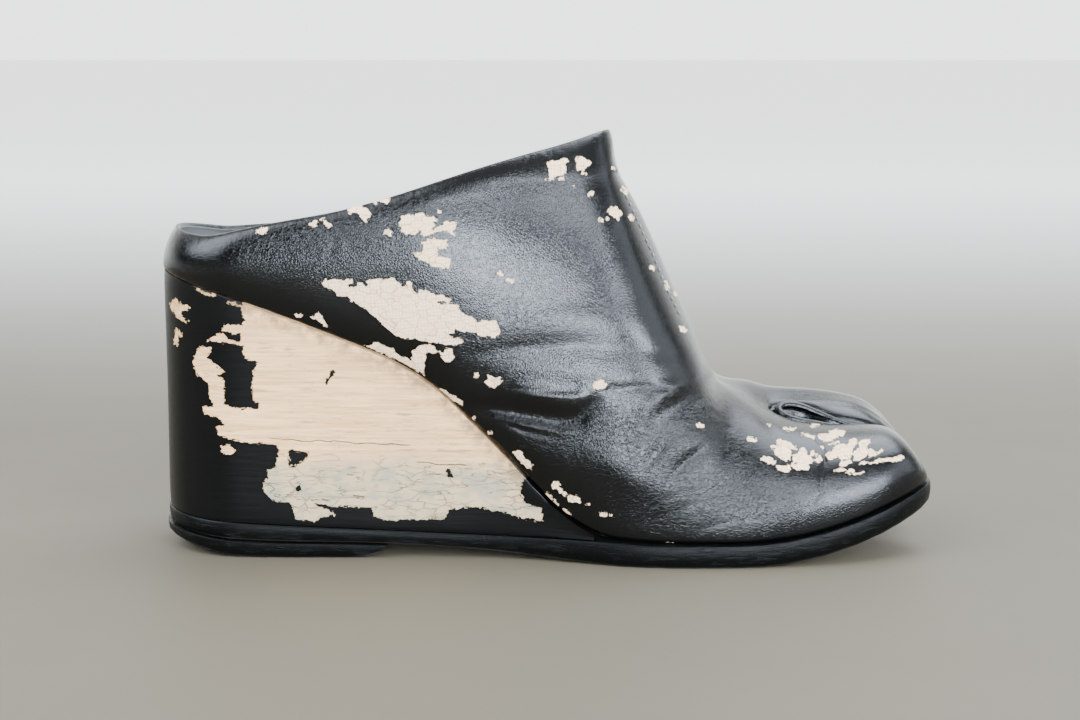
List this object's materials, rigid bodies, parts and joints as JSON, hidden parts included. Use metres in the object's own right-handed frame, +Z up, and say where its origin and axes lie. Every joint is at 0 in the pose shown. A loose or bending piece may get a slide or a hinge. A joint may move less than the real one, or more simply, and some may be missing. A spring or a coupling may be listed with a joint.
{
  "type": "tabi wedge mule",
  "caption": "Backless split-toe mule on a tall sculpted wedge, with a high closed instep, a low heel rim, a leather outsole and a worn heel lift.",
  "frame": {"origin": "centre of the bounding box, on the floor the shoe stands on", "axes": "+X from heel to toes, +Y towards the big toe side, +Z up"},
  "size_m": [0.236, 0.0796, 0.1279],
  "materials": {
    "upper_leather": "satin black coat, flaked in patches to a cream base",
    "insole_leather": "matte black",
    "wedge_finish": "black coat flaked to a cream, cracked, horizontally grained base",
    "outsole_leather": "satin black edge",
    "heel_rubber": "matte black, worn at the back"
  },
  "bodies": {
    "root": {"upper": "upper_leather", "insole": "insole_leather", "wedge": "wedge_finish", "outsole": "outsole_leather", "heel_lift": "heel_rubber"}
  },
  "joints": []
}
